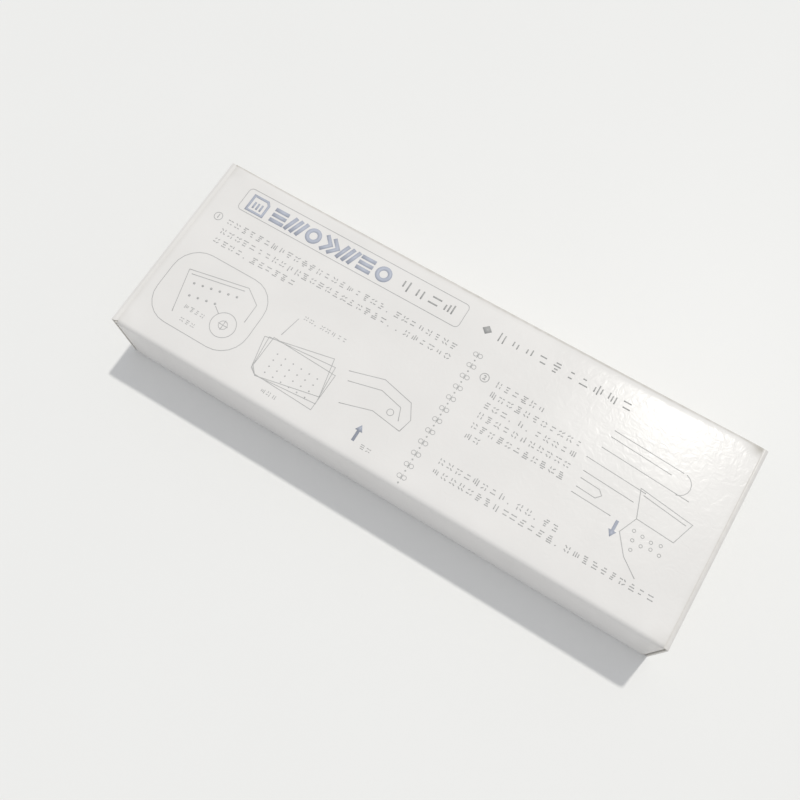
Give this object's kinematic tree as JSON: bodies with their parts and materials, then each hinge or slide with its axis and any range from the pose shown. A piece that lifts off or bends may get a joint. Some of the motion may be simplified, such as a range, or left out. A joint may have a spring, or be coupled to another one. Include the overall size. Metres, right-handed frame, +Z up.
{
  "type": "hand card punch in its carton",
  "caption": "Hand-squeezed card punch with guide pin, rocker, lever and chip case, lying in a flat white paperboard carton with tuck-in end flaps.",
  "frame": {"origin": "centre of the carton's bottom, on the surface it lies on", "axes": "+X along the carton towards the punch's nose, +Y across it to its far long side, +Z up"},
  "size_m": [0.2, 0.0694, 0.027],
  "materials": {
    "coated_carton_board": "white clay-coated paperboard, glossy varnish, worn folds",
    "grey_board": "white outside, plain uncoated grey-white inside",
    "satin_steel": "satin nickel-plated steel",
    "hard_steel": "ground and hardened steel",
    "jaw_enamel": "light grey stove enamel",
    "handle_plastic": "blue-grey moulded plastic with a fine grain",
    "grip_plastic": "darker blue-grey moulded plastic",
    "case_plastic": "milky plastic",
    "screw_steel": "bright plated screws and pins"
  },
  "bodies": {
    "carton": {"carton_sleeve": "coated_carton_board"},
    "right_flap": {"right_end_flap": "coated_carton_board"},
    "left_flap": {"left_end_flap": "coated_carton_board"},
    "right_near_dust": {"right_near_dust_flap": "grey_board"},
    "right_far_dust": {"right_far_dust_flap": "grey_board"},
    "left_near_dust": {"left_near_dust_flap": "grey_board"},
    "left_far_dust": {"left_far_dust_flap": "grey_board"},
    "punch": {"lower_frame_plate": "satin_steel", "upper_frame_plate": "satin_steel", "frame_posts": "screw_steel", "card_table": "satin_steel", "die_block": "hard_steel", "die_bush": "hard_steel", "nose_guide_block": "hard_steel", "spring_bridge": "hard_steel", "upper_jaw_cover": "jaw_enamel", "lower_housing_shell": "handle_plastic", "upper_housing_shell": "handle_plastic", "housing_screws": "screw_steel", "rocker_axle": "screw_steel", "lever_hinge_pin": "screw_steel", "chip_case_pin": "screw_steel", "plunger_spring": "screw_steel", "guide_pin_spring": "screw_steel"},
    "rocker": {"rocker_beam": "satin_steel"},
    "plunger": {"punch_plunger": "hard_steel"},
    "pin": {"guide_pin": "screw_steel", "safety_stop": "hard_steel"},
    "lever": {"squeeze_lever": "satin_steel", "lever_grip": "grip_plastic", "lever_roller_pin": "screw_steel", "lever_leaf_spring": "hard_steel"},
    "roller": {"lever_roller": "hard_steel"},
    "case": {"chip_case": "case_plastic"}
  },
  "joints": [
    {"name": "punch_unpack", "type": "slide", "parent": "carton", "child": "punch", "axis": [1, 0, 0], "range_m": [0, 0.0306]},
    {"name": "right_flap_turn", "type": "hinge", "parent": "carton", "child": "right_flap", "pos_m": [0.09975, 0, 0.00025], "axis": [0, 1, 0], "range_deg": [0, 90.1]},
    {"name": "right_near_dust_turn", "type": "hinge", "parent": "carton", "child": "right_near_dust", "pos_m": [0.09915, -0.0345, 0.012], "axis": [0, 0, -1], "range_deg": [0, 63.1]},
    {"name": "right_far_dust_turn", "type": "hinge", "parent": "carton", "child": "right_far_dust", "pos_m": [0.09915, 0.0345, 0.012], "axis": [0, 0, 1], "range_deg": [0, 63.1]},
    {"name": "left_flap_turn", "type": "hinge", "parent": "carton", "child": "left_flap", "pos_m": [-0.09975, 0, 0.00025], "axis": [0, -1, 0], "range_deg": [0, 90]},
    {"name": "left_near_dust_turn", "type": "hinge", "parent": "carton", "child": "left_near_dust", "pos_m": [-0.09915, -0.0345, 0.012], "axis": [0, 0, 1], "range_deg": [0, 63.1]},
    {"name": "left_far_dust_turn", "type": "hinge", "parent": "carton", "child": "left_far_dust", "pos_m": [-0.09915, 0.0345, 0.012], "axis": [0, 0, -1], "range_deg": [0, 63.1]},
    {"name": "lever_squeeze", "type": "hinge", "parent": "punch", "child": "lever", "pos_m": [-0.088, 0.008, 0.0118], "axis": [0, 0, 1], "range_deg": [0, 10], "stiffness_Nm_per_rad": 1, "springref_deg": -11.46, "deforming": ["lever_leaf_spring", "plunger_spring"]},
    {"name": "rocker_turn", "type": "hinge", "parent": "punch", "child": "rocker", "pos_m": [-0.016, 0.0135, 0.0118], "axis": [0, 0, -1], "range_deg": [0, 2.11]},
    {"name": "punch_stroke", "type": "slide", "parent": "punch", "child": "plunger", "axis": [0, -1, 0], "range_m": [0, 0.0033]},
    {"name": "roller_turn", "type": "hinge", "parent": "lever", "child": "roller", "pos_m": [-0.076, 0, 0.0118], "axis": [0, 0, 1], "range_deg": [0, 36.1]},
    {"name": "guide_pin_lift", "type": "slide", "parent": "punch", "child": "pin", "axis": [0, 1, 0], "range_m": [0, 0.0014], "stiffness_N_per_m": 300, "springref_m": -0.002, "deforming": ["guide_pin_spring"]},
    {"name": "chip_case_turn", "type": "hinge", "parent": "punch", "child": "case", "pos_m": [0.084, -0.0096, 0.0118], "axis": [0, 0, 1], "range_deg": [0, 30]}
  ],
  "couplings": [
    {"joint": "right_flap_turn", "follows": "punch_unpack", "rad_per_m": 51.333},
    {"joint": "right_near_dust_turn", "follows": "punch_unpack", "rad_per_m": 35.933},
    {"joint": "right_far_dust_turn", "follows": "punch_unpack", "rad_per_m": 35.933},
    {"joint": "left_near_dust_turn", "follows": "left_flap_turn", "ratio": 0.7},
    {"joint": "left_far_dust_turn", "follows": "left_flap_turn", "ratio": 0.7},
    {"joint": "rocker_turn", "follows": "lever_squeeze", "ratio": 0.21},
    {"joint": "punch_stroke", "follows": "lever_squeeze", "m_per_rad": 0.0189},
    {"joint": "roller_turn", "follows": "lever_squeeze", "ratio": 3.6}
  ]
}
